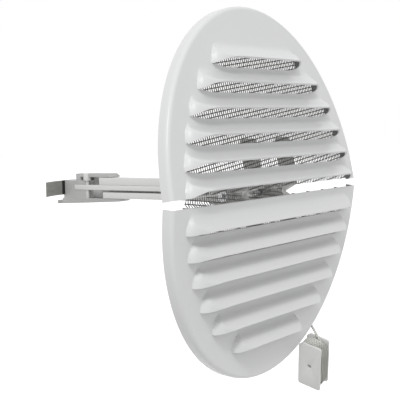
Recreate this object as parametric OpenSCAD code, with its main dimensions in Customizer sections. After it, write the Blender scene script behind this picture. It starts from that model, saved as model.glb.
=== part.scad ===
/* [Grille disc] */
// Diameter of the two halves when they stand flat
disc_d = 200; // [190:1:240]
// Thickness of the pressed sheet
sheet_t = 1; // [0.7:0.1:1.3]
// Depth of the rim that is turned back round the edge
rim_depth = 6; // [5:0.5:9]
// Outer radius of the bend between face and rim
rim_bend = 2.2; // [1.6:0.1:3]
// Gap between the halves when both stand flat
split_gap = 0.6; // [0.4:0.1:1.2]
// From the hinge axis forward to the face
face_front = 15; // [14.5:0.5:18]
// How far the upper half leans back at rest
upper_lean = 9.5; // [0:0.5:14]
// How far the lower half leans back at rest
lower_lean = 6; // [0:0.5:14]

/* [Louvres] */
// Louvres on each half
louvre_count = 6; // [3:1:6]
// Spacing of the cuts
louvre_pitch = 13.4; // [13.2:0.1:14.2]
// Height of a hood from its cut to its crease
louvre_h = 11.7; // [10.5:0.1:11.9]
// How far the lip stands in front of the face
louvre_d = 7; // [5:0.5:8.5]
// How far the lip is drawn up above its cut
lip_raise = 2.3; // [1.5:0.1:3]
// How far the sheet under a cut is pressed down
slot_sag = 1.4; // [0.5:0.1:1.4]
// Length over which each end of a hood runs out
louvre_end = 16; // [12:0.5:20]
// Slant of a hood's ends, which lean inwards towards its crease
end_slant = 28; // [20:1:34]
// Radius of the hollow between a hood and the face above it
crease_r = 6; // [4:0.5:7]
// Radius of the circle that the louvres stay inside
louvre_reach = 89; // [87:0.5:93]

/* [Insect mesh] */
// Thickness of the woven mesh
mesh_t = 0.5; // [0.3:0.1:0.8]
// Width of bare sheet between the mesh and the rim
mesh_margin = 4; // [2:0.5:8]
// Openings across the full disc, each one standing for many of the fine weave
mesh_openings = 12; // [8:2:12]
// Width of the strands between the openings
mesh_strand = 3; // [2:0.5:5]

/* [Hinge] */
// Diameter of the hinge pin
pin_d = 3; // [2.5:0.1:4]
// Length of the hinge pin
pin_l = 68; // [67:0.5:76]
// Radial play of a knuckle on the pin
pin_play = 0.05; // [0.02:0.01:0.1]
// Thickness of the bracket leaves
leaf_t = 1.2; // [1:0.1:1.6]
// Height of a bracket leaf
leaf_h = 27; // [20:1:34]
// Width of a bracket leaf
leaf_w = 16.5; // [15.5:0.5:17]
// Outer diameter of a knuckle
knuckle_d = 7; // [6:0.2:8]
// Width of a knuckle
knuckle_w = 5; // [4:0.1:5.2]
// Side play between neighbouring knuckles
knuckle_play = 0.5; // [0.3:0.1:0.8]
// Thickness of a retaining ring
ring_t = 0.8; // [0.6:0.1:1]
// Outer diameter of a retaining ring
ring_d = 6; // [5:0.2:7]

/* [Springs] */
// Diameter of the spring wire
wire_d = 0.9; // [0.7:0.1:1]
// Mean diameter of the coils
coil_d = 4.9; // [4.9:0.1:5.6]
// Whole turns of a coil
coil_turns = 5; // [3:1:5]
// Where the coils start, from the middle
coil_in = 6.2; // [5.5:0.1:6.4]
// How far up the leaf a spring's leg reaches
leg_reach = 12; // [9:0.5:14]

/* [Yoke] */
// Width of the yoke over its ears
yoke_w = 62; // [61:0.5:66]
// Thickness of an ear
ear_t = 4; // [3:0.1:4.2]
// Distance from the hinge axis back to the crossbar
bar_back = 5; // [4.8:0.1:6]
// Depth of the crossbar
bar_t = 4; // [3:0.1:6]
// Height of the crossbar
bar_h = 9; // [7:0.1:10]
// Length of the socket that holds the arm
socket_l = 9; // [8:0.5:14]
// Wall of the socket
socket_wall = 2; // [1.6:0.1:3]

/* [Arm] */
// Width of the arm
arm_w = 8; // [7:0.1:10]
// End of the upper rail, from the hinge axis
arm_end = 103.3; // [95:0.1:106]
// How much shorter the lower rail is
rail_step = 2.7; // [0:0.1:5]
// Top of the upper rail at its rear end, above the axis
rail_top = 7.2; // [6.6:0.1:7.3]
// How much the upper rail tapers towards the disc
rail_taper = 0.6; // [0:0.1:1]
// Underside of the upper rail above the axis
rail_under = 2.8; // [2.4:0.1:3.4]
// Top of the lower rail below the axis
lower_rail_top = 1.6; // [1:0.1:2]
// Underside of the lower rail below the axis
lower_rail_under = 5.2; // [4.5:0.1:5.4]
// Thickness of the web that joins the rails
arm_web = 2; // [1.5:0.1:2.6]
// Diameter of the screws that hold the arm
screw_d = 2.4; // [2:0.1:3]

/* [Sliding head] */
// Rear face of the head, from the hinge axis
head_end = 131.5; // [128:0.1:138]
// Length of the head's block
block_l = 18.2; // [15:0.1:20]
// Top of the block above the axis
block_top = 5.3; // [5:0.1:6]
// Thickness of the head's flanges and web
head_wall = 2; // [1.6:0.1:2.4]
// Running clearance of the head on the arm
head_play = 0.2; // [0.1:0.05:0.4]
// Length of the top flange
top_flange_l = 31.7; // [26:0.1:34]
// Length of the bottom flange in front of the block's rear face
bottom_flange_l = 50.5; // [44:0.1:54]
// Tail of the bottom flange behind the block
tail_l = 5.5; // [2:0.1:8]
// Rounding of the block's rear edges
block_round = 2; // [1:0.1:2.6]

/* [Strap and blade] */
// Height of the strap between the rails
strap_h = 3; // [2.4:0.1:3.4]
// Depth of the strap
strap_t = 3.4; // [3:0.1:4]
// Length of the strap in front of its pin
strap_l = 86; // [60:1:86]
// How far the strap runs into the block behind its pin
strap_tail = 8.5; // [6:0.1:10]
// Diameter of the strap pin
strap_pin_d = 2.4; // [2:0.1:2.6]
// Diameter of the strap pin's head
strap_pin_head_d = 4.7; // [4:0.1:5]
// Height of the strap pin's head
strap_pin_head_h = 4.6; // [3:0.1:5]
// Distance between the blade's tips
blade_span = 54; // [40:1:70]
// Height of the blade
blade_h = 8.6; // [6:0.1:9]
// Thickness of the blade
blade_t = 0.5; // [0.3:0.05:0.8]
// Radius to which the blade is bowed
blade_bow = 72; // [60:1:120]
// Thickness of the head's wall behind the blade
blade_cover = 1.5; // [1.2:0.1:2.5]
// Diameter of the rivet through the blade
rivet_d = 2.4; // [2:0.1:3]

/* [Pull cord] */
// Diameter of the cord
cord_d = 1.4; // [1:0.1:1.8]
// Width of the winder
winder_w = 15; // [14:0.5:18]
// Height of the winder
winder_h = 33; // [31:0.5:40]
// Thickness of the winder over both plates
winder_t = 10.5; // [9:0.1:13]
// Thickness of a winder plate
winder_plate = 1.2; // [0.8:0.1:1.6]
// Diameter of the hole through the winder
winder_hole = 2.6; // [1.5:0.1:3]
// Layers of cord on the winder
cord_layers = 3; // [2:1:3]

/* [Hidden] */
$fn = 96;

paint = "#e6e8e8";
plastic = "#eeeeec";
steel = "#9a9a98";
zinc = "#b4b6b8";
cord_white = "#dcdcd6";

// Small extra so that a cut runs clear of the faces it leaves
cut = 1;
disc_r = disc_d / 2;
half_gap = split_gap / 2;

// The hood's straight slope, tangent to the hollow above it
slope_turn = asin(crease_r / norm([louvre_h - lip_raise, louvre_d - crease_r]));
slope_angle = atan2(louvre_d - crease_r, louvre_h - lip_raise) + slope_turn;
slope_len = sqrt(pow(louvre_h - lip_raise, 2) + pow(louvre_d - crease_r, 2) - pow(crease_r, 2));
slope_top = [slope_len * sin(slope_angle) - louvre_d, lip_raise + slope_len * cos(slope_angle)];
// The hood's hollow lies this far behind its skin
hollow_shift = 1.2 * sheet_t;
hollow_back = sheet_t + cut;
// The plan of a hood is a little deeper than its lip, so the lip stays straight
plan_depth = louvre_d + 0.3;
plan_r = (pow(louvre_end, 2) + pow(plan_depth, 2)) / (2 * plan_depth);
// Share of the hood's height at which the louvre circle is measured for the length of its cut
shoulder = 0.8;
upper_cuts = [for (k = [0 : louvre_count - 1]) k * louvre_pitch];
lower_cuts = [for (k = [1 : louvre_count]) -k * louvre_pitch];
function far_edge(z) = max(abs(z + shoulder * louvre_h), abs(z - slot_sag));
function half_len(z) = sqrt(pow(louvre_reach, 2) - pow(far_edge(z), 2));

mesh_r = disc_r - sheet_t - mesh_margin;
mesh_back = sheet_t + mesh_t;
leaf_back = mesh_back + leaf_t;
// Play between the brackets' parts of two halves at the split
leaf_low = split_gap + 0.4;
arm_tip_h = 6;
pin_r = pin_d / 2;
bore_r = pin_r + pin_play;
knuckle_r = knuckle_d / 2;
ear_in = yoke_w / 2 - ear_t;
// The outer edges of the leaves line up with the yoke's ears
leaf_in = ear_in - leaf_w;
upper_knuckle_in = ear_in - knuckle_play - knuckle_w;
lower_knuckle_in = upper_knuckle_in - knuckle_play - knuckle_w;
ear_r = knuckle_r + 0.5;
ring_out = yoke_w / 2 + 0.4;

coil_r = coil_d / 2;
coil_step = 360 / 16;
coil_pitch = wire_d + 0.05;
// Air between a spring's leg and what it bears on
leg_air = 0.15;

bar_low = -bar_h / 2;
bar_end = bar_back + bar_t;
arm_half = arm_w / 2;
arm_start = bar_end;
socket_play = 0.1;
screw_step = 4.5;
screw_first = bar_end + 2.5;
screw_head_d = 1.65 * screw_d;
screw_head_h = 1.4;
screw_l = 5;

// The head wraps the arm: top and bottom flange, and a web on the closed side
head_in = arm_half + head_play;
head_out = head_in + head_wall;
top_flange_low = rail_top + head_play;
top_flange_top = top_flange_low + head_wall;
bottom_flange_top = -lower_rail_under - head_play;
bottom_flange_low = bottom_flange_top - 1.7 * head_wall;
block_start = head_end - block_l;
block_low = bottom_flange_top - head_wall / 2;
top_flange_end = block_start + 7.4;
post_l = 3.2;
flange_chamfer = 2.5;
tail_h = 1.8;
head_half = arm_half;

strap_top = rail_under - 0.1;
strap_low = strap_top - strap_h;
strap_out = arm_half + 0.3;
strap_in = strap_out - strap_t;
pin_x = -(strap_out + strap_in) / 2;
pin_y = block_start;
strap_play = 0.05;
blade_mid = head_end - blade_cover;
blade_top = block_top;
blade_low = blade_top - blade_h;
blade_play = 0.1;
rivet_z = (blade_top + blade_low) / 2;
rivet_x = 0;
rivet_l = 5;
rivet_head_d = 1.9 * rivet_d;
rivet_head_h = 1;

// The cord leaves the lower rim through a hole on this direction from the axis
cord_side = [0.6, -0.8];
cord_hole_d = cord_d + 0.6;
cord_hole_depth = rim_depth - 2;
knot_r = 1.7;
// The winder hangs turned and tilted under the cord's hole
winder_at = [60, -5, -105];
winder_turn = -97;
winder_tilt = 25;
winder_roll = 18;
winding_gap = winder_t - 2 * winder_plate;
wind_rise = 1.3;
wind_half_w = winder_w / 2 - 0.9;
wind_half_h = winder_h / 2 - wind_rise;
core_half_w = wind_half_w - cord_layers * cord_d;
core_half_h = wind_half_h - cord_layers * cord_d;
plate_round = 1.5;
plate_cut = 2.5;
cord_route = [
    [58.3, -2.8, -78.4], [59.1, -2.7, -79.5], [59.8, -2.6, -80.5], [60.3, -2.8, -81.7],
    [60.4, -3.3, -82.9], [60, -4.1, -83.8], [59.3, -5, -84.5], [58.6, -5.9, -85.1],
    [57.8, -6.8, -85.8], [57.1, -7.7, -86.4], [56.4, -8.6, -87.1], [55.7, -9.5, -87.8],
    [55.3, -10.3, -88.7], [55.4, -11, -89.8], [55.8, -11.5, -91], [56.2, -11.9, -92.1],
    [56.6, -12.4, -93.3], [57, -12.8, -94.5]
];

function unit(v) = v / norm(v);

// A round wire or cord swept along a path; side is never along the path
module swept(path, r, sides, side = [1, 0, 0]) {
    last = len(path) - 1;
    rings = [for (i = [0 : last])
        let (along = unit(path[min(i + 1, last)] - path[max(i - 1, 0)]))
        let (a = unit(cross(along, side)))
        let (b = cross(along, a))
        for (k = [0 : sides - 1])
            path[i] + r * (cos(360 * k / sides) * a + sin(360 * k / sides) * b)];
    start_cap = [for (k = [0 : sides - 1]) k];
    end_cap = [for (k = [sides - 1 : -1 : 0]) last * sides + k];
    walls = [for (i = [0 : last - 1]) for (k = [0 : sides - 1])
        [i * sides + k, (i + 1) * sides + k,
         (i + 1) * sides + (k + 1) % sides, i * sides + (k + 1) % sides]];
    polyhedron(points = rings, faces = concat([start_cap], walls, [end_cap]), convexity = 10);
}

// A block given by its lowest and highest corner
module block(low, high) {
    translate(low) cube(high - low);
}

// A side view, depth then height, drawn out across the width
module across(from, to) {
    translate([from, 0, 0]) rotate([90, 0, 90]) linear_extrude(to - from) children();
}

// The halves are drawn standing flat with the front of their sheet at zero depth
module on_upper_half() {
    rotate([-upper_lean, 0, 0]) translate([0, -face_front, 0]) children();
}

module on_lower_half() {
    rotate([lower_lean, 0, 0]) translate([0, -face_front, 0]) children();
}

module dish_profile(radius, depth, bend) {
    translate([0, -depth]) square([radius - bend, depth]);
    translate([0, -depth]) square([radius, depth - bend]);
    translate([radius - bend, -bend]) circle(bend);
}

// The whole face with its rounded edge and its rim turned back
module dished_face() {
    rotate([90, 0, 0]) rotate_extrude() difference() {
        dish_profile(disc_r, rim_depth, rim_bend);
        translate([0, -sheet_t]) dish_profile(disc_r - sheet_t, rim_depth, rim_bend - sheet_t);
    }
}

// Plan of a hood's right end, drawn far past its other end
module end_plan(shift, back) {
    front = shift - plan_depth;
    intersection() {
        translate([-disc_d, front]) square([disc_d, back - front]);
        union() {
            translate([-disc_d, front]) square([disc_d - louvre_end, back - front]);
            translate([-louvre_end, front + plan_r]) circle(plan_r);
        }
    }
}

module inside_end(length, shift, back) {
    translate([length, 0, 0]) rotate([0, -end_slant, 0])
        translate([0, 0, -disc_r]) linear_extrude(disc_d) end_plan(shift, back);
}

// All that lies between the two slanted ends of a hood
module between_ends(length, shift, back) {
    intersection() {
        inside_end(length, shift, back);
        mirror([1, 0, 0]) inside_end(length, shift, back);
    }
}

// The outside of a hood: lip, straight slope and hollow, with ends that run out
module louvre_skin(length) {
    seat = sheet_t / 2;
    intersection() {
        across(-length, length) difference() {
            polygon([[seat, 0], [0, 0], [-louvre_d, lip_raise], slope_top, [0, louvre_h], [seat, louvre_h]]);
            translate([-crease_r, louvre_h]) circle(crease_r);
        }
        between_ends(length, 0, seat);
    }
}

// The inside of a hood with the slot below it, open to the back
module louvre_hollow(length) {
    drop = (lip_raise + slot_sag) * tan(slope_angle);
    intersection() {
        across(-length, length) difference() {
            polygon([
                [hollow_back, -slot_sag], [hollow_shift - louvre_d - drop, -slot_sag],
                [hollow_shift + slope_top[0], slope_top[1]], [hollow_shift, louvre_h],
                [hollow_back, louvre_h]
            ]);
            translate([hollow_shift - crease_r, louvre_h]) circle(crease_r);
        }
        between_ends(length, hollow_shift, hollow_back);
        translate([0, hollow_back + cut, 0]) rotate([90, 0, 0])
            linear_extrude(hollow_back + louvre_d + drop + 3 * cut) polygon([
                [-length, 0], [louvre_end - length, -slot_sag], [length - louvre_end, -slot_sag],
                [length, 0], [length, louvre_h], [-length, louvre_h]
            ]);
    }
}

// One pressed half: up is 1 for the upper half and -1 for the lower
module pressed_half(cuts, up) {
    away = up > 0 ? half_gap - disc_d : -half_gap;
    difference() {
        union() {
            dished_face();
            for (z = cuts) translate([0, 0, z]) louvre_skin(half_len(z));
        }
        for (z = cuts) translate([0, 0, z]) louvre_hollow(half_len(z));
        translate([-disc_d, -disc_r, away]) cube([2 * disc_d, disc_d, disc_d]);
    }
}

module upper_grille() {
    color(paint) on_upper_half() pressed_half(upper_cuts, 1);
}

module lower_grille() {
    color(paint) on_lower_half() difference() {
        pressed_half(lower_cuts, -1);
        translate([cord_side[0] * disc_r, cord_hole_depth, cord_side[1] * disc_r])
            rotate([0, atan2(cord_side[0], cord_side[1]), 0])
                translate([0, 0, -2 * sheet_t - cut]) cylinder(d = cord_hole_d, h = 2 * sheet_t + 2 * cut);
    }
}

// A disc of the mesh's thickness, deepened by the given amount on both faces
module mesh_disc(radius, deeper) {
    translate([0, sheet_t - deeper, 0]) rotate([-90, 0, 0]) cylinder(r = radius, h = mesh_t + 2 * deeper);
}

// A half disc of mesh that lies on the back of the sheet, open in even rows and columns
module mesh_panel() {
    pitch = 2 * mesh_r / mesh_openings;
    opening = pitch - mesh_strand;
    difference() {
        intersection() {
            mesh_disc(mesh_r, 0);
            translate([-disc_r, 0, half_gap]) cube([disc_d, disc_r, disc_r]);
        }
        intersection() {
            mesh_disc(mesh_r - mesh_strand, cut);
            for (column = [0 : mesh_openings - 1], row = [0 : mesh_openings / 2 - 1]) {
                middle = [(column + 0.5) * pitch - mesh_r, (row + 0.5) * pitch];
                if (norm(middle) < mesh_r - mesh_strand)
                    translate([middle[0], sheet_t + mesh_t / 2, middle[1]])
                        cube([opening, mesh_t + 4 * cut, opening], center = true);
            }
        }
    }
}

module upper_mesh() {
    color(steel) on_upper_half() mesh_panel();
}

module lower_mesh() {
    color(steel) on_lower_half() mirror([0, 0, 1]) mesh_panel();
}

// A leaf on the mesh with an arm back to its knuckle on the pin
module bracket(knuckle_in) {
    corner = 3;
    leaf_top = leaf_low + leaf_h;
    difference() {
        union() {
            translate([leaf_in, leaf_back, 0]) rotate([90, 0, 0]) linear_extrude(leaf_t) {
                translate([0, leaf_low]) square([leaf_w, leaf_h - corner]);
                translate([corner, leaf_low]) square([leaf_w - 2 * corner, leaf_h]);
                for (x = [corner, leaf_w - corner]) translate([x, leaf_top - corner]) circle(corner);
            }
            across(knuckle_in, knuckle_in + knuckle_w) {
                translate([face_front, 0]) circle(knuckle_r);
                polygon([
                    [leaf_back - leaf_t / 2, leaf_low], [leaf_back - leaf_t / 2, arm_tip_h],
                    [face_front - cut, sqrt(pow(knuckle_r, 2) - pow(cut, 2))],
                    [face_front - cut, -sqrt(pow(knuckle_r, 2) - pow(cut, 2))]
                ]);
            }
        }
        translate([knuckle_in - cut, face_front, 0]) rotate([0, 90, 0])
            cylinder(r = bore_r, h = knuckle_w + 2 * cut);
    }
}

module upper_bracket_left() {
    color(zinc) on_upper_half() mirror([1, 0, 0]) bracket(upper_knuckle_in);
}

module upper_bracket_right() {
    color(zinc) on_upper_half() bracket(upper_knuckle_in);
}

module lower_bracket_left() {
    color(zinc) on_lower_half() mirror([0, 0, 1]) mirror([1, 0, 0]) bracket(lower_knuckle_in);
}

module lower_bracket_right() {
    color(zinc) on_lower_half() mirror([0, 0, 1]) bracket(lower_knuckle_in);
}

module hinge_pin() {
    bevel = 0.4;
    color(steel) translate([-pin_l / 2, 0, 0]) rotate([0, 90, 0]) rotate_extrude() polygon([
        [0, 0], [pin_r - bevel, 0], [pin_r, bevel],
        [pin_r, pin_l - bevel], [pin_r - bevel, pin_l], [0, pin_l]
    ]);
}

module retaining_rings() {
    color(steel) for (side = [0, 1]) mirror([side, 0, 0]) translate([ring_out, 0, 0]) rotate([0, 90, 0])
        difference() {
            cylinder(d = ring_d, h = ring_t);
            translate([0, 0, -cut]) cylinder(r = pin_r, h = ring_t + 2 * cut);
        }
}

// From the leg on the crossbar, round the coil, to the leg on the bracket's leaf
function spring_path(lean) =
    let (turn = 360 * coil_turns + 180)
    let (steps = turn / coil_step)
    let (lift = wire_d / 2 + leg_air)
    let (leaf = face_front - leaf_back)
    let (coil_l = coil_pitch * turn / 360)
    concat(
        [[coil_in, bar_back - lift, bar_low + bar_h - wire_d / 2], [coil_in, coil_r + 0.4, 1.6]],
        [for (i = [0 : steps])
            [coil_in + coil_l * i / steps, coil_r * cos(i * coil_step), -coil_r * sin(i * coil_step)]],
        [[coil_in + coil_l, -coil_r - 0.4, 1.6],
         [coil_in + coil_l, (lift - leaf) * cos(lean) + leg_reach * sin(lean),
          (leaf - lift) * sin(lean) + leg_reach * cos(lean)]]
    );

module upper_spring() {
    color(steel) mirror([1, 0, 0]) swept(spring_path(upper_lean), wire_d / 2, 6);
}

module lower_spring() {
    color(steel) mirror([0, 0, 1]) swept(spring_path(lower_lean), wire_d / 2, 6);
}

// Side view of a rail: low and high edge at its start, then at its end
module rail_profile(low_start, low_end, high_start, high_end, end) {
    polygon([[arm_start, low_start], [end, low_end], [end, high_end], [arm_start, high_start]]);
}

module yoke() {
    socket_end = bar_end + socket_l;
    socket_half = arm_half + socket_play + socket_wall;
    socket_top = rail_top + socket_play + socket_wall;
    socket_low = -lower_rail_under - socket_play - socket_wall;
    color(plastic) difference() {
        union() {
            block([-yoke_w / 2, bar_back, bar_low], [yoke_w / 2, bar_end, bar_low + bar_h]);
            for (side = [0, 1]) mirror([side, 0, 0]) across(ear_in, yoke_w / 2) {
                circle(ear_r);
                polygon([[0, -ear_r], [bar_back, bar_low], [bar_end, bar_low],
                         [bar_end, bar_low + bar_h], [bar_back, bar_low + bar_h], [0, ear_r]]);
            }
            block([-socket_half, bar_end - bar_t / 2, socket_low], [socket_half, socket_end, socket_top]);
        }
        translate([-yoke_w, 0, 0]) rotate([0, 90, 0]) cylinder(r = bore_r, h = 2 * yoke_w);
        block([-arm_half - socket_play, arm_start, -lower_rail_under - socket_play],
              [arm_half + socket_play, socket_end + cut, rail_top + socket_play]);
        for (k = [0, 1]) translate([0, screw_first + k * screw_step, 0]) cylinder(d = screw_d, h = 2 * rail_top);
    }
}

module arm() {
    color(plastic) difference() {
        union() {
            across(-arm_half, arm_half)
                rail_profile(rail_under, rail_under, rail_top - rail_taper, rail_top, arm_end);
            across(-arm_half, arm_half)
                rail_profile(-lower_rail_under, -lower_rail_under, -lower_rail_top, -lower_rail_top,
                             arm_end - rail_step);
            block([arm_half - arm_web, arm_start, -lower_rail_under],
                  [arm_half, arm_end - rail_step, rail_under + cut]);
        }
        for (k = [0, 1]) translate([0, screw_first + k * screw_step, rail_under - cut])
            cylinder(d = screw_d, h = rail_top);
    }
}

module arm_screws() {
    head_low = rail_top + socket_play + socket_wall;
    color(zinc) for (k = [0, 1]) translate([0, screw_first + k * screw_step, head_low]) {
        cylinder(d = screw_head_d, h = screw_head_h);
        translate([0, 0, -screw_l]) cylinder(d = screw_d, h = screw_l + cut / 2);
    }
}

// The bow of the blade as a ring seen from above, cut to the given width and height
module bowed(thickness, width, low, high) {
    intersection() {
        translate([0, blade_mid - blade_bow, low]) difference() {
            cylinder(r = blade_bow + thickness / 2, h = high - low, $fn = 240);
            translate([0, 0, -cut]) cylinder(r = blade_bow - thickness / 2, h = high - low + 2 * cut, $fn = 240);
        }
        block([-width / 2, blade_mid - blade_bow / 2, low], [width / 2, blade_mid + thickness, high]);
    }
}

// Plan of the block with its two rear edges rounded
module block_plan() {
    straight = block_l - block_round;
    translate([-head_half, block_start]) square([head_half + head_in, straight]);
    translate([block_round - head_half, block_start]) square([head_half + head_out - 2 * block_round, block_l]);
    for (x = [block_round - head_half, head_out - block_round])
        translate([x, head_end - block_round]) circle(block_round);
}

module sliding_head() {
    top_start = top_flange_end - top_flange_l;
    bottom_start = head_end - bottom_flange_l;
    tip_r = (head_half + head_out) / 2;
    color(plastic) difference() {
        union() {
            translate([0, 0, block_low]) linear_extrude(block_top - block_low) block_plan();
            across(-head_half, head_out) {
                polygon([[top_start, top_flange_low], [top_start + flange_chamfer, top_flange_top],
                         [top_flange_end, top_flange_top], [top_flange_end, top_flange_low]]);
                polygon([[bottom_start, bottom_flange_top], [bottom_start + flange_chamfer, bottom_flange_low],
                         [head_end, bottom_flange_low], [head_end, bottom_flange_top]]);
            }
            across(head_in, head_out) polygon([
                [bottom_start + flange_chamfer, bottom_flange_low], [head_end - block_round, bottom_flange_low],
                [head_end - block_round, block_top], [top_flange_end, block_top],
                [top_flange_end, top_flange_top], [top_start + flange_chamfer, top_flange_top]
            ]);
            block([-head_half, top_flange_end - post_l, block_top - cut],
                  [head_in + cut / 2, top_flange_end, top_flange_low + cut]);
            translate([0, 0, bottom_flange_low]) linear_extrude(tail_h) {
                translate([-head_half, head_end - cut]) square([2 * tip_r, cut + tail_l - tip_r / 2]);
                translate([tip_r / 2 - head_half, head_end - cut]) square([tip_r, cut + tail_l]);
                for (x = [tip_r / 2 - head_half, head_out - tip_r / 2])
                    translate([x, head_end + tail_l - tip_r / 2]) circle(tip_r / 2);
            }
        }
        bowed(blade_t + 2 * blade_play, 4 * head_out, blade_low - blade_play, blade_top + cut);
        translate([rivet_x, head_end - rivet_l, rivet_z]) rotate([-90, 0, 0]) cylinder(d = rivet_d, h = rivet_l + cut);
        block([-strap_out - cut, block_start - cut, strap_low - strap_play],
              [-strap_in + strap_play, pin_y + strap_tail + strap_play, strap_top + strap_play]);
        translate([pin_x, pin_y, bottom_flange_low - cut])
            cylinder(d = strap_pin_d, h = block_top - bottom_flange_low + 2 * cut);
        translate([pin_x, pin_y, block_top]) cylinder(d = strap_pin_head_d + 2 * strap_play, h = top_flange_top);
    }
}

module head_strap() {
    nose = strap_h / 2;
    color(plastic) difference() {
        across(-strap_out, -strap_in) {
            translate([pin_y - strap_l + nose, strap_low + nose]) circle(nose);
            translate([pin_y - strap_l + nose, strap_low]) square([strap_l + strap_tail - nose, strap_h]);
        }
        translate([pin_x, pin_y, strap_low - cut]) cylinder(d = strap_pin_d, h = strap_h + 2 * cut);
    }
}

module strap_pin() {
    dome = 0.6;
    color(plastic) translate([pin_x, pin_y, 0]) {
        translate([0, 0, bottom_flange_low]) cylinder(d = strap_pin_d, h = block_top - bottom_flange_low + cut / 2);
        translate([0, 0, block_top]) rotate_extrude() polygon([
            [0, 0], [strap_pin_head_d / 2, 0], [strap_pin_head_d / 2, strap_pin_head_h - dome],
            [strap_pin_head_d / 2 - dome, strap_pin_head_h], [0, strap_pin_head_h]
        ]);
    }
}

module spring_blade() {
    color(steel) difference() {
        bowed(blade_t, blade_span, blade_low, blade_top);
        translate([rivet_x, blade_mid - blade_t - cut, rivet_z]) rotate([-90, 0, 0])
            cylinder(d = rivet_d, h = 2 * blade_t + 2 * cut);
    }
}

module blade_rivet() {
    color(zinc) translate([rivet_x, head_end, rivet_z]) rotate([-90, 0, 0]) {
        translate([0, 0, -rivet_l]) cylinder(d = rivet_d, h = rivet_l + cut / 2);
        rotate_extrude() intersection() {
            translate([0, -rivet_head_d / 2 + rivet_head_h]) circle(rivet_head_d / 2 + 0.01);
            square([rivet_head_d / 2, rivet_head_h]);
        }
    }
}

module pull_cord() {
    color(cord_white) swept(cord_route, cord_d / 2, 8);
}

module cord_knot() {
    knot_in = disc_r - sheet_t - knot_r;
    color(cord_white) on_lower_half()
        translate([cord_side[0] * knot_in, cord_hole_depth, cord_side[1] * knot_in]) sphere(knot_r);
}

module on_winder() {
    translate(winder_at) rotate([0, 0, winder_turn]) rotate([winder_tilt, 0, 0]) rotate([0, winder_roll, 0])
        children();
}

// An upright outline with round ends, drawn through the winder's thickness
module stadium(half_w, half_h, thickness) {
    translate([0, thickness / 2, 0]) rotate([90, 0, 0]) linear_extrude(thickness) {
        square([2 * half_w, 2 * (half_h - half_w)], center = true);
        for (side = [-1, 1]) translate([0, side * (half_h - half_w)]) circle(half_w);
    }
}

module wound_cord() {
    slack = 0.05;
    color(cord_white) on_winder() difference() {
        stadium(wind_half_w, wind_half_h, winding_gap - 2 * slack);
        stadium(core_half_w + slack, core_half_h + slack, winding_gap + cut);
    }
}

module winder_plate_outline() {
    half_w = winder_w / 2;
    half_h = winder_h / 2;
    difference() {
        union() {
            square([winder_w - 2 * plate_round, winder_h], center = true);
            square([winder_w, winder_h - 2 * plate_round], center = true);
            for (x = [-1, 1]) for (z = [-1, 1])
                translate([x * (half_w - plate_round), z * (half_h - plate_round)]) circle(plate_round);
        }
        polygon([[-half_w - cut, half_h - plate_cut - cut], [-half_w - cut, half_h + cut],
                 [-half_w + plate_cut + cut, half_h + cut]]);
    }
}

module cord_winder() {
    color(plastic) on_winder() difference() {
        union() {
            stadium(core_half_w, core_half_h, winding_gap + winder_plate);
            for (y = [winder_plate - winder_t / 2, winder_t / 2])
                translate([0, y, 0]) rotate([90, 0, 0]) linear_extrude(winder_plate) winder_plate_outline();
        }
        translate([0, -winder_t, 0]) rotate([-90, 0, 0]) cylinder(d = winder_hole, h = 2 * winder_t);
    }
}

upper_grille();
lower_grille();
upper_mesh();
lower_mesh();
upper_bracket_left();
upper_bracket_right();
lower_bracket_left();
lower_bracket_right();
hinge_pin();
retaining_rings();
upper_spring();
lower_spring();
yoke();
arm();
arm_screws();
sliding_head();
head_strap();
strap_pin();
spring_blade();
blade_rivet();
pull_cord();
wound_cord();
cord_knot();
cord_winder();
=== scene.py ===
# %% [markdown]
# # A folding round vent grille
# Two half discs of white pressed sheet are hinged on one pin. Behind the pin an arm reaches into
# the duct and carries a sliding head with a bowed steel blade that grips the duct's wall. A cord
# hangs from the lower half, wound on a small plastic winder.
# The packed CAD model is the frame: each piece that is made here sits where its solid sits.

# %% Load the frame
import math

import bmesh
import bpy
from mathutils import Matrix, Vector


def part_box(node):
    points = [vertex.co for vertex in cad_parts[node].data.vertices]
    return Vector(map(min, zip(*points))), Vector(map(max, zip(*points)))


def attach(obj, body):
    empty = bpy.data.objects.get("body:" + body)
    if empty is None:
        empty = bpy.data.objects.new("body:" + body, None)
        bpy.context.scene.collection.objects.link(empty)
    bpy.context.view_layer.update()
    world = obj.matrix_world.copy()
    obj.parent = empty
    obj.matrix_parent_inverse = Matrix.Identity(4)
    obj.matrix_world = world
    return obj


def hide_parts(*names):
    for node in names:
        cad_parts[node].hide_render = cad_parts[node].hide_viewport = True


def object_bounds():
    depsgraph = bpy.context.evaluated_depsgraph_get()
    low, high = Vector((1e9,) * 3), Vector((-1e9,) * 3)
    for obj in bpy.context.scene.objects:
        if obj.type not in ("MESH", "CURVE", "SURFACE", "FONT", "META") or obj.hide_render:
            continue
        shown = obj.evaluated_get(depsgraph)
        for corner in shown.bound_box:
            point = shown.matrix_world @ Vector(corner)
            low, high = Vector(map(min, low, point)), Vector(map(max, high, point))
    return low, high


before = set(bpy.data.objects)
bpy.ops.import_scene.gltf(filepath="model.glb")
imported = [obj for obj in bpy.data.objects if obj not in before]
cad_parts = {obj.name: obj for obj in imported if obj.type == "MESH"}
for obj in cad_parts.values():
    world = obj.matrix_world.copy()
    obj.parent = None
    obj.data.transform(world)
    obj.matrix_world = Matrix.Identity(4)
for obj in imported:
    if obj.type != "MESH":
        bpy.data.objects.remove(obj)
cad_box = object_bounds()
print("nodes:", len(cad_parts))

MM = 0.001

# %% [markdown]
# ## Camera
# The photograph was taken with a long lens from the left and slightly above. Its place comes from
# a camera fitted to the outlines of both half discs and to the lines of their louvres, so it is
# written as three angles, a place and a focal length.

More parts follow.
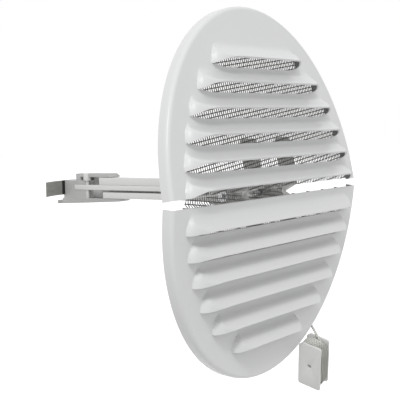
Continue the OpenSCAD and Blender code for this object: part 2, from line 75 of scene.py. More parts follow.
# %% Set up the camera
HEADING, HEIGHT_ANGLE, ROLL = math.radians(57.157), math.radians(4.156), math.radians(-1.148)
CAMERA_PLACE = (-0.5223, -0.30244, 0.04025)
SENSOR_WIDTH_MM, FOCAL_LENGTH_MM = 36, 99.35

toward = Vector((
    -math.sin(HEADING) * math.cos(HEIGHT_ANGLE),
    -math.cos(HEADING) * math.cos(HEIGHT_ANGLE),
    math.sin(HEIGHT_ANGLE),
))
level = Vector((math.cos(HEADING), -math.sin(HEADING), 0))
upright = toward.cross(level)
right = math.cos(ROLL) * level + math.sin(ROLL) * upright
up = -math.sin(ROLL) * level + math.cos(ROLL) * upright

lens_data = bpy.data.cameras.new("long_lens")
lens_data.sensor_width = SENSOR_WIDTH_MM
lens_data.lens = FOCAL_LENGTH_MM
lens_data.clip_start = 0.02
camera = bpy.data.objects.new("camera", lens_data)
bpy.context.scene.collection.objects.link(camera)
turned = Matrix((right, up, toward)).transposed().to_4x4()
camera.matrix_world = Matrix.Translation(CAMERA_PLACE) @ turned
bpy.context.scene.camera = camera
print("camera at", [round(v, 3) for v in camera.location])

# %% [markdown]
# ## Writing node trees as sums
# Finishes and repeated shapes are both node trees. One small class stands for what leaves a
# socket, and its + - * / add the Math nodes, so a rule reads like the sentence that it is.

# %% What leaves a socket
class Wire:
    """What leaves one socket of a node tree; sums of wires and numbers add Math nodes."""

    def __init__(self, plan, socket):
        self.plan, self.socket = plan, socket

    def of(self, name):
        return Wire(self.plan, self.socket.node.outputs[name])

    def math(self, operation, *values):
        return self.plan.node("ShaderNodeMath", {"operation": operation}, dict(enumerate(values)))

    def __add__(self, other):
        return self.math("ADD", self, other)

    def __radd__(self, other):
        return self.math("ADD", other, self)

    def __sub__(self, other):
        return self.math("SUBTRACT", self, other)

    def __rsub__(self, other):
        return self.math("SUBTRACT", other, self)

    def __mul__(self, other):
        return self.math("MULTIPLY", self, other)

    def __rmul__(self, other):
        return self.math("MULTIPLY", other, self)

    def __truediv__(self, other):
        return self.math("DIVIDE", self, other)

    def __neg__(self):
        return self.math("MULTIPLY", self, -1.0)

    def above(self, other):
        return self.math("GREATER_THAN", self, other)

    def below(self, other):
        return self.math("LESS_THAN", self, other)

    def least(self, other):
        return self.math("MINIMUM", self, other)

    def most(self, other):
        return self.math("MAXIMUM", self, other)

    def soft_least(self, other, reach):
        return self.math("SMOOTH_MIN", self, other, reach)

    def size(self):
        return self.math("ABSOLUTE", self)

    def root(self):
        return self.math("SQRT", self)

    def sine(self):
        return self.math("SINE", self)

    def cosine(self):
        return self.math("COSINE", self)

    def arcsine(self):
        return self.math("ARCSINE", self)

    def angle_over(self, run):
        return self.math("ARCTAN2", self, run)

    def whole(self):
        return self.math("FLOOR", self)

    def rise(self, low, high):
        """0 up to low, 1 from high on, and a straight run between."""
        settings = {"clamp": True}
        return self.plan.node("ShaderNodeMapRange", settings, {0: self, 1: low, 2: high})

    def ease(self, low, high):
        """The same with soft ends."""
        settings = {"interpolation_type": "SMOOTHSTEP"}
        return self.plan.node("ShaderNodeMapRange", settings, {0: self, 1: low, 2: high})


print("a wire knows", sum(not name.startswith("_") for name in vars(Wire)), "sums by name")

# %% [markdown]
# Every other node is added by one method, which sets the node's options first and its sockets
# after them, because some sockets only exist once an option is set. A finish is such a tree around
# the Principled shader. Its grain and bumps read the piece's own coordinates, so nothing has to be
# unwrapped and the pattern stays put when the piece turns on its joint.

# %% Node trees and finishes
class Plan:
    """A node tree that is written line by line."""

    def __init__(self, tree):
        self.tree = tree

    def node(self, kind, settings=None, sockets=None, out=0):
        made = self.tree.nodes.new(kind)
        for name, value in (settings or {}).items():
            setattr(made, name, value)
        for name, value in (sockets or {}).items():
            if isinstance(value, Wire):
                self.tree.links.new(value.socket, made.inputs[name])
            else:
                made.inputs[name].default_value = value
        return Wire(self, made.outputs[out])

    def vector(self, x=0.0, y=0.0, z=0.0):
        return self.node("ShaderNodeCombineXYZ", None, {0: x, 1: y, 2: z})

    def parts(self, vector):
        split = self.node("ShaderNodeSeparateXYZ", None, {0: vector})
        return split, split.of("Y"), split.of("Z")

    def seen(self):
        """1 where a ray comes from the camera or by way of a mirror or glass, 0 for other light."""
        ray = self.node("ShaderNodeLightPath")
        direct = ray.of("Is Camera Ray").most(ray.of("Is Glossy Ray"))
        return direct.most(ray.of("Is Transmission Ray"))


class Finish(Plan):
    """A procedural material; colours, grain and bumps read the piece's own coordinates."""

    def __init__(self, name, metal=0.0, sheen=0.5):
        self.material = bpy.data.materials.new(name)
        self.material.use_nodes = True
        super().__init__(self.material.node_tree)
        self.shader = self.tree.nodes["Principled BSDF"]
        self.shader.inputs["Metallic"].default_value = metal
        self.shader.inputs["Specular IOR Level"].default_value = sheen
        self.place = self.node("ShaderNodeTexCoord", out="Object")

    def feed(self, socket, value):
        self.tree.links.new(value.socket, self.shader.inputs[socket])

    def noise(self, scale, detail=2.0, roughness=0.5, where=None):
        sockets = {"Vector": where or self.place, "Scale": scale, "Detail": detail}
        return self.node("ShaderNodeTexNoise", None, {**sockets, "Roughness": roughness})

    def stretched(self, x, y, z):
        settings = {"operation": "MULTIPLY"}
        return self.node("ShaderNodeVectorMath", settings, {0: self.place, 1: (x, y, z)})

    def mix(self, amount, first, second):
        settings = {"data_type": "RGBA"}
        return self.node("ShaderNodeMix", settings, {0: amount, 6: first, 7: second}, out=2)

    def shade(self, amount, dark, light):
        return self.mix(amount, (*dark, 1), (*light, 1))

    def bump(self, height, depth, strength=1.0):
        sockets = {"Height": height, "Distance": depth, "Strength": strength}
        self.feed("Normal", self.node("ShaderNodeBump", None, sockets))


print("node tree helper ready")

# %% [markdown]
# ## Floor and light
# The photograph is a cut-out on pure white. A pale floor lies well below the grille, so its
# shadow stays soft. The floor looks white to the camera through Light Path, and no lamp is raised
# for that.

# %% Floor that stays white to the camera
FLOOR_GREY, FLOOR_GLOW = 0.6, 0.85
FLOOR_REACH, FLOOR_DROP = 12.0, 0.35

floor_finish = Finish("pale_floor", sheen=0.0)
floor_finish.shader.inputs["Base Color"].default_value = (FLOOR_GREY, FLOOR_GREY, FLOOR_GREY, 1)
strength = floor_finish.seen() * FLOOR_GLOW
glow = floor_finish.node(
    "ShaderNodeEmission", None, {"Color": (1, 1, 1, 1), "Strength": strength}
)
lit = Wire(floor_finish, floor_finish.shader.outputs[0])
surface = floor_finish.node("ShaderNodeAddShader", None, {0: lit, 1: glow})
floor_out = floor_finish.tree.nodes["Material Output"]
floor_finish.tree.links.new(surface.socket, floor_out.inputs["Surface"])

floor_low = cad_box[0][2] - FLOOR_DROP
corners = [(-1, -1), (1, -1), (1, 1), (-1, 1)]
floor_mesh = bpy.data.meshes.new("floor")
floor_mesh.from_pydata(
    [(x * FLOOR_REACH, y * FLOOR_REACH, floor_low) for x, y in corners], [], [(0, 1, 2, 3)]
)
floor_mesh.materials.append(floor_finish.material)
floor = bpy.data.objects.new("floor", floor_mesh)
bpy.context.scene.collection.objects.link(floor)
print("floor at z =", round(floor_low, 3))

# %% [markdown]
# The light is soft, from above and from the camera's left. An even sky fills every shadow, as a
# light tent does in a studio, and one square lamp draws the dark line under each hood. A picture
# of a studio could light the scene too, but an even sky puts no strange shapes on the zinc.

# %% Sky and lamp
SKY_LIGHT = 0.69
LAMP_PLACE = Vector((-1.64, -0.95, 1.78))
LAMP_WIDTH, LAMP_POWER = 0.5, 23.5

sky = bpy.data.worlds.new("white_studio")
bpy.context.scene.world = sky
sky.use_nodes = True
brightness = SKY_LIGHT + Plan(sky.node_tree).seen() * (1 - SKY_LIGHT)
background = sky.node_tree.nodes["Background"]
background.inputs["Color"].default_value = (1, 1, 1, 1)
sky.node_tree.links.new(brightness.socket, background.inputs["Strength"])

lamp_data = bpy.data.lights.new("key_lamp", "AREA")
lamp_data.size = LAMP_WIDTH
lamp_data.energy = LAMP_POWER
key_lamp = bpy.data.objects.new("key_lamp", lamp_data)
bpy.context.scene.collection.objects.link(key_lamp)
key_lamp.location = LAMP_PLACE
key_lamp.rotation_euler = (-LAMP_PLACE).to_track_quat("-Z", "Y").to_euler()
bpy.context.scene.view_settings.view_transform = "Standard"
print("lamp", round(LAMP_PLACE.length, 2), "m from the hinge")

# %% [markdown]
# ## Finishes
# The pressed halves wear a satin powder coat: a hard white skin with a very fine orange peel.
# Peel is a bump and not a shape, because it is a few hundredths of a millimetre deep. Its tone and
# its polish drift a little from place to place, which keeps a large white face from looking flat.

# %% White powder coat
PEEL_DEPTH, PEEL_SCALE = 0.03 * MM, 1300.0

powder_coat = Finish("powder_coat", sheen=0.5)
tone = powder_coat.noise(9.0, 3.0)
powder_coat.feed("Base Color", powder_coat.shade(tone, (0.75, 0.757, 0.757), (0.8, 0.805, 0.805)))
powder_coat.feed("Roughness", 0.3 + powder_coat.noise(260.0, 2.0) * 0.14)
powder_coat.bump(powder_coat.noise(PEEL_SCALE, 2.0, 0.4), PEEL_DEPTH, 0.5)
print("finish:", powder_coat.material.name)

# %% [markdown]
# The inside of the sheet is a dark grey with random patches: painted shade, which stands in for
# the shade inside the hoods. It is a second material on the same mesh, because sheet and coat are
# one piece on the real grille too.

# %% Painted shade on the inside of the sheet
inside_painted_shade = Finish("thin_inside_coat", sheen=0.35)
patch = inside_painted_shade.noise(40.0, 3.0)
# Painted shade: a dark grey that stands in for the shade inside the hoods.
inside_painted_shade.feed("Base Color", inside_painted_shade.shade(patch, (0.2, 0.2, 0.2), (0.3, 0.3, 0.3)))
inside_painted_shade.feed("Roughness", 0.5 + inside_painted_shade.noise(300.0) * 0.2)
inside_painted_shade.bump(inside_painted_shade.noise(PEEL_SCALE), PEEL_DEPTH, 0.5)
print("finish:", inside_painted_shade.material.name)

# %% [markdown]
# Yoke, arm, strap and winder are injection moulded in a slightly warm, dull white. Plastic leaves
# faint streaks where it flowed, so the tone is a noise that is drawn out along the arm, and the
# mould's etched steel leaves a fine grain, which is a bump of two hundredths of a millimetre.

# %% Moulded plastic
def moulded(name, polish):
    """A moulded finish without its colour, and the streaks that the colour can follow."""
    made = Finish(name, sheen=0.45)
    streaks = made.noise(26.0, 3.0, where=made.stretched(1, 0.25, 1))
    made.feed("Roughness", polish + made.noise(420.0, 2.0) * 0.16)
    made.bump(made.noise(1800.0, 2.0), 0.02 * MM, 0.6)
    return made, streaks


moulded_white, streaks = moulded("moulded_white", 0.38)
moulded_white.feed(
    "Base Color", moulded_white.shade(streaks, (0.77, 0.77, 0.755), (0.84, 0.84, 0.825))
)
print("finish:", moulded_white.material.name)

# %% [markdown]
# The sliding head is the same kind of moulding in a greyer batch. The walls inside its open side
# lie in shade and are painted pale there, which is painted light. They are a box in the piece's
# own coordinates, so a few comparisons pick them out and no vertex has to be marked by hand.

# %% Greyer plastic of the sliding head
RECESS_X, RECESS_Y_END, RECESS_Z = (0.2 * MM, 4.5 * MM), 113.6 * MM, (-5.2 * MM, 7.3 * MM)

moulded_grey, streaks = moulded("moulded_grey", 0.4)
deep_x, deep_y, deep_z = moulded_grey.parts(moulded_grey.place)
# Painted light: the walls inside the open side lie in shade, and this box paints them pale.
painted_light_in_recess = deep_x.above(RECESS_X[0]) * deep_x.below(RECESS_X[1]) * deep_y.below(RECESS_Y_END)
painted_light_in_recess = painted_light_in_recess * deep_z.above(RECESS_Z[0]) * deep_z.below(RECESS_Z[1])
pale = (streaks * 0.22 + painted_light_in_recess * 0.78).least(1.0)
moulded_grey.feed("Base Color", moulded_grey.shade(pale, (0.45, 0.45, 0.445), (0.95, 0.95, 0.945)))
print("finish:", moulded_grey.material.name)

# %% [markdown]
# The pin, the screws and the rings are zinc plated. Zinc grows in crystals, so a Voronoi pattern
# shifts its tone and its polish from cell to cell. The hinge leaves and the rivet are a pale, dull
# zinc that shows little metal. The springs are bright wire that was drawn through a die, so their
# noise is squeezed along one axis and leaves fine rings.

# %% Zinc and bright wire
zinc_plate = Finish("zinc_plate", metal=1.0)
crystal = zinc_plate.node(
    "ShaderNodeTexVoronoi", None, {"Vector": zinc_plate.place, "Scale": 520.0}, out="Color"
)
grain, _, _ = zinc_plate.parts(crystal)
zinc_plate.feed("Base Color", zinc_plate.shade(grain, (0.5, 0.51, 0.52), (0.66, 0.67, 0.68)))
zinc_plate.feed("Roughness", 0.3 + grain * 0.18)
zinc_plate.bump(zinc_plate.noise(900.0), 0.02 * MM, 0.5)

pale_zinc = Finish("pale_zinc", metal=0.1)
pale_mottle = pale_zinc.noise(120.0, 3.0)
pale_zinc.feed("Base Color", pale_zinc.shade(pale_mottle, (0.72, 0.72, 0.7), (0.84, 0.84, 0.82)))
pale_zinc.feed("Roughness", 0.45 + pale_mottle * 0.2)
pale_zinc.bump(pale_zinc.noise(900.0), 0.02 * MM, 0.5)

bright_steel = Finish("bright_steel", metal=1.0)
drawn = bright_steel.noise(700.0, 3.0, where=bright_steel.stretched(6, 1, 1))
bright_steel.feed("Base Color", bright_steel.shade(drawn, (0.42, 0.42, 0.41), (0.6, 0.6, 0.59)))
bright_steel.feed("Roughness", 0.22 + drawn * 0.2)
bright_steel.bump(drawn, 0.01 * MM, 0.5)
print("finishes:", zinc_plate.material.name, pale_zinc.material.name, bright_steel.material.name)

# %% [markdown]
# The blade is rolled spring steel: fine scratches run along the strip. Its root next to the head
# is painted almost black, as painted shade for the shade where it enters the head. The band is a
# soft step on the distance from the middle, and a little noise keeps its edge from being ruled.

# %% Spring steel strip with painted shade at its root
PAINTED_SHADE_MM = (6.6, 7.3)

strip_steel = Finish("strip_steel")
along, _, _ = strip_steel.parts(strip_steel.place)
scratch = strip_steel.noise(900.0, 4.0, 0.6, strip_steel.stretched(0.03, 1, 1))
blotch = strip_steel.noise(160.0, 3.0)
from_middle = along.size() * 1000.0
root_painted_shade = 1 - (from_middle + blotch * 0.3).ease(*PAINTED_SHADE_MM)
worn = strip_steel.shade(scratch * 0.7 + blotch * 0.3, (0.27, 0.27, 0.255), (0.58, 0.58, 0.555))
# Painted shade: the root is near black, standing in for the shade where it enters the head.
strip_steel.feed("Base Color", strip_steel.mix(root_painted_shade, worn, (0.015, 0.015, 0.014, 1)))
strip_steel.feed("Metallic", 0.85 - root_painted_shade * 0.6)
strip_steel.feed("Roughness", 0.42 + scratch * 0.2)
strip_steel.bump(scratch, 0.02 * MM, 0.4)
print("finish:", strip_steel.material.name)

# %% [markdown]
# The mesh is woven from dull, dark wire. The weave is made as a shape further down, so the wire
# itself needs only an uneven dark tone and a rough skin.

# %% Woven wire
woven_wire = Finish("woven_wire", metal=0.3)
dull = woven_wire.noise(300.0, 2.0)
woven_wire.feed("Base Color", woven_wire.shade(dull, (0.1, 0.1, 0.095), (0.24, 0.24, 0.225)))
woven_wire.feed("Roughness", 0.42 + dull * 0.2)
woven_wire.bump(woven_wire.noise(2600.0), 0.02 * MM, 0.4)
print("finish:", woven_wire.material.name)

# %% [markdown]
# ## Pull cord
# Three kinds of piece are grown by Geometry Nodes: cord, halves and mesh. Each is a rule that runs
# on an empty or simple object, and only the plain mesh that it makes is kept, so nothing depends
# on a modifier afterwards. These helpers open a rule, close it and run it.

# %% Run a growing rule
INSIDE_SLOTS = 3


def group_inputs(name, sizes):
    """A new geometry node tree with one named input for each size."""
    tree = bpy.data.node_groups.new(name, "GeometryNodeTree")
    tree.interface.new_socket("Geometry", in_out="INPUT", socket_type="NodeSocketGeometry")
    tree.interface.new_socket("Geometry", in_out="OUTPUT", socket_type="NodeSocketGeometry")
    kinds = {float: "NodeSocketFloat", int: "NodeSocketInt"}
    keys = {}
    for size, value in sizes.items():
        made = tree.interface.new_socket(size, in_out="INPUT", socket_type=kinds[type(value)])
        made.default_value = value
        keys[size] = made.identifier
    plan = Plan(tree)
    return plan, plan.node("NodeGroupInput"), keys


def close_tree(plan, shape, material):
    """Ends a tree in Realize Instances and Set Material."""
    real = plan.node("GeometryNodeRealizeInstances", None, {0: shape})
    real = plan.node("GeometryNodeSetMaterial", None, {0: real, 2: material})
    plan.tree.links.new(real.socket, plan.tree.nodes.new("NodeGroupOutput").inputs[0])


def grown(name, tree, keys, sizes, base=None, extra=(), inside=None):
    """Runs a tree on an object and returns the plain mesh that it makes."""
    carrier = bpy.data.objects.new(name + "_plan", base or bpy.data.meshes.new(name + "_plan"))
    bpy.context.scene.collection.objects.link(carrier)
    # Solidify can give the inside a finish of its own only where the object has slots for it
    for _ in range(INSIDE_SLOTS if inside else 0):
        carrier.data.materials.append(inside)
    rule = carrier.modifiers.new("rule", "NODES")
    rule.node_group = tree
    for size, value in sizes.items():
        rule[keys[size]] = value
    for kind, settings in extra:
        more = carrier.modifiers.new(kind.lower(), kind)
        for key, value in settings.items():
            setattr(more, key, value)
    bpy.context.view_layer.update()
    ready = carrier.evaluated_get(bpy.context.evaluated_depsgraph_get())
    mesh = bpy.data.meshes.new_from_object(ready)
    mesh.name = name
    if inside:
        mesh.materials.append(inside)
    if mesh.materials[0] is None:
        mesh.materials.pop(index=0)
    made = bpy.data.objects.new(name, mesh)
    bpy.context.scene.collection.objects.link(made)
    bpy.data.objects.remove(carrier)
    print(name, "has", sum(len(p.vertices) - 2 for p in mesh.polygons), "triangles")
    return made


print("growing rules can run")

# %% [markdown]
# A cord or a wire is a round section that is carried along a curve. The sweep also writes how far
# along and how far round each point is, so that a braid can follow every bend.

# %% Sweep a round section along a path
def path_curve(name, points):
    curve = bpy.data.curves.new(name, "CURVE")
    curve.dimensions = "3D"
    line = curve.splines.new("POLY")
    line.points.add(len(points) - 1)
    for point, place in zip(line.points, points):
        point.co = (*place, 1)
    return curve


def round_wire_tree(name, material):
    """Any curve becomes a closed round wire that knows its own length and girth."""
    plan, given, keys = group_inputs(name, {"Wire radius": 0.5 * MM, "Sides": 8})
    options = {"data_type": "FLOAT", "domain": "POINT"}
    length = plan.node("GeometryNodeSplineParameter", out="Length")
    marked = plan.node(
        "GeometryNodeStoreNamedAttribute", options,
        {"Geometry": given.of("Geometry"), "Name": "along", "Value": length},
    )
    ring = plan.node(
        "GeometryNodeCurvePrimitiveCircle", {"mode": "RADIUS"},
        {"Resolution": given.of("Sides"), "Radius": given.of("Wire radius")},
    )
    girth = plan.node("GeometryNodeSplineParameter", out="Factor")
    ring = plan.node(
        "GeometryNodeStoreNamedAttribute", options,
        {"Geometry": ring, "Name": "around", "Value": girth},
    )
    wire = plan.node(
        "GeometryNodeCurveToMesh", None,
        {"Curve": marked, "Profile Curve": ring, "Fill Caps": True},
    )
    close_tree(plan, plan.node("GeometryNodeSetShadeSmooth", None, {"Geometry": wire}), material)
    return plan.tree, keys


print("sweep rule ready")

# %% [markdown]
# A braid is two sets of strands that run round the cord in opposite directions. Two sine waves
# give them, and the higher one of the two lies on top. Painted shade darkens the grooves between
# the strands, and painted light makes the free run and the top of the winding lighter.

# %% Braided cord finish
STRANDS = 4 * math.pi
TWIST = 3600.0
PAINTED_SHADE_BELOW_MM, PAINTED_LIGHT_ABOVE_MM = -95.0, -90.5

braid = Finish("braided_cord", sheen=0.3)
along = braid.node("ShaderNodeAttribute", {"attribute_name": "along"}, out="Fac")
around = braid.node("ShaderNodeAttribute", {"attribute_name": "around"}, out="Fac")
left_lay = (along * TWIST + around * STRANDS).sine()
right_lay = (along * TWIST - around * STRANDS).sine()
strand = left_lay.most(right_lay)
fibre = braid.noise(2400.0, 2.0)
# Painted shade: the grooves between the strands are darker, where shade falls.
strand_painted_light = strand.rise(-0.6, 1.0)
_, _, high = braid.parts(braid.place)
# Painted light: the free run and the top of the winding are lighter than the winding below.
painted_top_light = (high * 1000.0).ease(PAINTED_SHADE_BELOW_MM, PAINTED_LIGHT_ABOVE_MM)
lightness = strand_painted_light * (0.55 + painted_top_light * 0.15) + painted_top_light * 0.3
braid.feed("Base Color", braid.shade(lightness, (0.2, 0.2, 0.175), (0.85, 0.85, 0.81)))
braid.feed("Roughness", 0.75 + fibre * 0.2)
braid.bump(strand + fibre * 0.4, 0.08 * MM, 0.7)
print("finish:", braid.material.name)

# %% [markdown]
# The cord leaves the lower rim through a hole, bends over the top of the winder and lies on it in
# four layers. It is one length of cord, so it is one path: the free end follows the route of the
# CAD solid, and the layers are wound by walking round a shape with two straight sides and two round
# ends. Stacked rings would look the same, but they would say nothing about the cord's length.

# %% Path of the cord
CORD_D = 1.4
FREE_ROUTE = [
    (58.3, -2.8, -78.4), (59.1, -2.7, -79.5), (59.8, -2.6, -80.5), (60.3, -2.8, -81.7),
    (60.4, -3.3, -82.9), (60, -4.1, -83.8), (59.3, -5, -84.5), (58.6, -5.9, -85.1),
    (57.8, -6.8, -85.8), (57.1, -7.7, -86.4), (56.4, -8.6, -87.1), (55.7, -9.5, -87.8),
    (55.3, -10.3, -88.7), (55.4, -11, -89.8), (55.8, -11.5, -91), (56.2, -11.9, -92.1),
]
PLATE_REACH = 3.27
WINDING_HALF_WIDTH, WINDING_HALF_HEIGHT = 7.7, 16.3
FIRST_DEPTH, FIRST_SHARE = 2.6, 0.052
STEPS_PER_TURN = 44
on_winder = (
    Matrix.Translation((60, -5, -105))
    @ Matrix.Rotation(math.radians(-97), 4, "Z")
    @ Matrix.Rotation(math.radians(25), 4, "X")
    @ Matrix.Rotation(math.radians(18), 4, "Y")
)


def stadium_point(half_w, half_h, share):
    """A point on an upright outline with round ends, by its share of the way round."""
    side = 2 * (half_h - half_w)
    bow = math.pi * half_w
    walk = (share % 1) * 2 * (side + bow)
    if walk < bow:
        turn = walk / half_w
        return half_w * math.cos(turn), side / 2 + half_w * math.sin(turn)
    if walk < bow + side:
        return -half_w, side / 2 - (walk - bow)
    if walk < 2 * bow + side:
        turn = math.pi + (walk - bow - side) / half_w
        return half_w * math.cos(turn), -side / 2 + half_w * math.sin(turn)
    return half_w, -side / 2 + (walk - 2 * bow - side)


def wound_layers():
    """From the free end inwards: each layer is a spiral, and a quarter turn drops to the next."""
    per_turn = CORD_D + 0.01
    reach = PLATE_REACH
    spirals = [(FIRST_DEPTH, -reach), (-reach, reach), (reach, -reach), (-reach, reach)]
    places = []
    share = FIRST_SHARE
    for layer, (begin, end) in enumerate(spirals):
        drop_steps = STEPS_PER_TURN // 4 if layer else 0
        lay_steps = round(STEPS_PER_TURN * abs(end - begin) / per_turn)
        for step in range(drop_steps + lay_steps):
            drop = 1 - min(1.0, step / drop_steps) if layer else 0
            inset = CORD_D * (layer - drop)
            go = max(0, step - drop_steps) / lay_steps
            wide, high = stadium_point(
                WINDING_HALF_WIDTH - inset, WINDING_HALF_HEIGHT - inset, share
            )
            places.append((wide, begin + (end - begin) * go, high))
            share -= 1 / STEPS_PER_TURN
    wide, depth, high = places[-1]
    return places + [(wide * 0.8, depth, high), (wide * 0.5, depth, high)]


wound = [on_winder @ Vector(place) for place in wound_layers()]
cord_path = [Vector(place) * MM for place in FREE_ROUTE] + [place * MM for place in wound]
cord_length = sum((b - a).length for a, b in zip(cord_path, cord_path[1:]))
print("cord:", len(cord_path), "points,", round(cord_length, 4), "m")

# %% [markdown]
# One sweep makes the whole cord, so it stands for both cord solids: the free run and the winding.

# %% The cord as one swept piece
wire_rule, wire_keys = round_wire_tree("round_wire", braid.material)
pull_cord = grown(
    "pull_cord_braid", wire_rule, wire_keys, {"Wire radius": CORD_D / 2 * MM, "Sides": 10},
    path_curve("cord_line", cord_path),
)
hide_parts("pull_cord", "wound_cord")
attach(pull_cord, "lower_half")

# %% [markdown]
# The knot that holds the cord inside the rim is a real overhand knot, tied from the same cord: a
# trefoil curve is the shortest closed line with that crossing, so it is swept with the same rule.
# The cord is a little thinner there, because the knot is pulled tight.

# %% The knot behind the rim
KNOT_STEPS, KNOT_SIZE, TIGHT_RADIUS = 72, 0.36, 0.62 * MM

knot_low, knot_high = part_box("cord_knot")
knot_middle = (knot_low + knot_high) / 2
knot_line = []
for step in range(KNOT_STEPS + 1):
    turn = 2 * math.pi * step / KNOT_STEPS
    swell = 2 + math.cos(3 * turn)
    loop = Vector((swell * math.cos(2 * turn), math.sin(3 * turn), swell * math.sin(2 * turn)))
    knot_line.append(knot_middle + loop * KNOT_SIZE * MM)
cord_knot = grown(
    "cord_knot_tied", wire_rule, wire_keys, {"Wire radius": TIGHT_RADIUS, "Sides": 8},
    path_curve("knot_line", knot_line),
)
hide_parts("cord_knot")
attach(cord_knot, "lower_half")

# %% [markdown]
# ## Moulded and bent pieces
# The CAD solids already have the right shapes, but their edges are perfectly sharp, and a sharp
# edge never catches light. Each solid is copied, its loose triangles are joined into flat faces,
# and a small Bevel rounds the edges the way a mould or a tumbling drum does. The winder comes
# first, because the cord needs it.

# %% Rounded copies of CAD solids
WELD = 0.002 * MM
FLAT_ANGLE = math.radians(0.6)
EDGE_ANGLE = math.radians(32)
EDGE_STEPS = 2


def rounded(node, name, body, material, edge, shape=None):
    """A copy of a solid with rounded edges; shape may move its points first."""
    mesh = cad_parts[node].data.copy()
    form = bmesh.new()
    form.from_mesh(mesh)
    bmesh.ops.remove_doubles(form, verts=form.verts, dist=WELD)
    for point in form.verts if shape else ():
        shape(point.co)
    bmesh.ops.dissolve_limit(form, angle_limit=FLAT_ANGLE, verts=form.verts, edges=form.edges)
    form.to_mesh(mesh)
    form.free()
    mesh.materials.clear()
    mesh.materials.append(material)
    carrier = bpy.data.objects.new(name + "_sharp", mesh)
    bpy.context.scene.collection.objects.link(carrier)
    bevel = carrier.modifiers.new("edges", "BEVEL")
    bevel.width = edge
    bevel.segments = EDGE_STEPS
    bevel.limit_method = "ANGLE"
    bevel.angle_limit = EDGE_ANGLE
    bpy.context.view_layer.update()
    ready = carrier.evaluated_get(bpy.context.evaluated_depsgraph_get())
    smooth = bpy.data.meshes.new_from_object(ready)
    smooth.name = name
    smooth.shade_smooth()
    smooth.set_sharp_from_angle(angle=EDGE_ANGLE)
    piece = bpy.data.objects.new(name, smooth)
    bpy.context.scene.collection.objects.link(piece)
    bpy.data.objects.remove(carrier)
    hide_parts(node)
    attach(piece, body)
    print(name, "faces:", len(smooth.polygons))
    return piece


white = moulded_white.material
winder = rounded("cord_winder", "winder_moulding", "lower_half", white, 0.25 * MM)

# %% [markdown]
# With the winder made, both pieces at the cord's ends are there: the knot behind the rim and the
# winder.

# %% The cord's two ends
print("cord ends on", winder.name, "and", cord_knot.name)

# %% [markdown]
# Yoke, arm and strap are plain mouldings. The sliding head is a deep one, and such a piece thins
# towards its open end so that it comes out of the mould: both flanges end a little sooner than in
# the solid, and the lower one thins on its way to the front. The pin goes through both flanges, so
# its points move by the same rule.

# %% Arm and sliding head
FLANGE_LEVEL, TAPER, TAPER_ROOT, TAPER_RUN = -8 * MM, 1.8 * MM, 131.5 * MM, 45 * MM
FLANGE_FRONT, DRAWN_IN = 93 * MM, 5.8 * MM


def thin_flanges(place):
    """The lower flange thins to its front, and both flanges end a little sooner."""
    if place.z < FLANGE_LEVEL:
        place.z += TAPER * (TAPER_ROOT - place.y) / TAPER_RUN
    if place.y < FLANGE_FRONT:
        place.y += DRAWN_IN


rounded("yoke", "yoke_moulding", "arm_frame", white, 0.35 * MM)
rounded("arm", "arm_channel", "arm_frame", white, 0.3 * MM)
rounded(
    "sliding_head", "head_moulding", "clamp_head", moulded_grey.material,
    0.8 * MM, shape=thin_flanges,
)
rounded("head_strap", "strap_bar", "clamp_head", white, 0.35 * MM)
rounded(
    "strap_pin", "strap_peg", "clamp_head", white, 0.2 * MM, shape=thin_flanges
)

# %% [markdown]
# The hinge leaves are bent from strip and tumbled, so they get the same small bevel. The pin, the
# rings, the screws, the rivet, the springs and the blade are turned, coiled or rolled: their
# solids are already round where the real ones are, and only a finish is missing.

# %% Metal pieces
def wear(name, material):
    """Puts one finish on a whole CAD node."""
    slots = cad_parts[name].data.materials
    for index in range(max(1, len(slots))):
        if slots:
            slots[index] = material
        else:
            slots.append(material)


for side in ("left", "right"):
    for half in ("upper", "lower"):
        rounded(
            f"{half}_bracket_{side}", f"{half}_hinge_leaf_{side}", f"{half}_half",
            pale_zinc.material, 0.2 * MM,
        )
for finish, nodes in (
    (zinc_plate, ("hinge_pin", "retaining_rings", "arm_screws")),
    (pale_zinc, ("blade_rivet",)),
    (bright_steel, ("upper_spring", "lower_spring")),
    (strip_steel, ("spring_blade",)),
):
    for node in nodes:
        wear(node, finish.material)
print("metal nodes dressed")

# %% [markdown]
# ## The pressed halves
# Each half is one sheet: a press cuts a row of slits and pushes the strip above each slit forward
# into a hood. Hood after hood repeats one rule, so the half is grown from a flat grid by Geometry
# Nodes. A model of one hood could be copied six times, but each hood is as long as the circle lets
# it be, and a rule gives the right length without a model for each. These are its sizes.

# %% Sizes of a pressed half
half_sizes = {
    "Radius": 100 * MM, "Rim bend": 2.2 * MM, "Rim depth": 6 * MM, "Half gap": 0.3 * MM,
    "Pitch": 13.4 * MM, "Hood height": 11.7 * MM, "Hood depth": 7 * MM, "Lip raise": 3.2 * MM,
    "Left lip run": 21 * MM, "Right lip run": 9 * MM, "Sag": 1.4 * MM,
    "Left end": 15 * MM, "Right end": 9 * MM, "End bulge": 1.5 * MM, "End slant": math.radians(28),
    "Louvre reach": 89 * MM, "Crease radius": 6 * MM, "Face forward": 15 * MM, "Lean": 0.0,
    "Side": 1.0, "First hood band": 0.0, "Band shift": 0.0,
    "Rows in band": 12, "Face columns": 361, "Hoods": 6,
}
RIM_COLUMNS = 8
BEND_COLUMNS = 5
print("sizes of a half:", len(half_sizes))

# %% [markdown]
# The flat blank is a grid. Its rows belong to bands, one for each cut and one for the plain cap
# past the last cut, and the faces that bridge two bands are taken out, which is what the slitting
# punch does. Each point then knows its band, how far it has climbed in it, and how many columns it
# lies outside the flat face.

# %% Blank with its cuts
class Spot:
    """What the rule knows so far about a point of the sheet."""


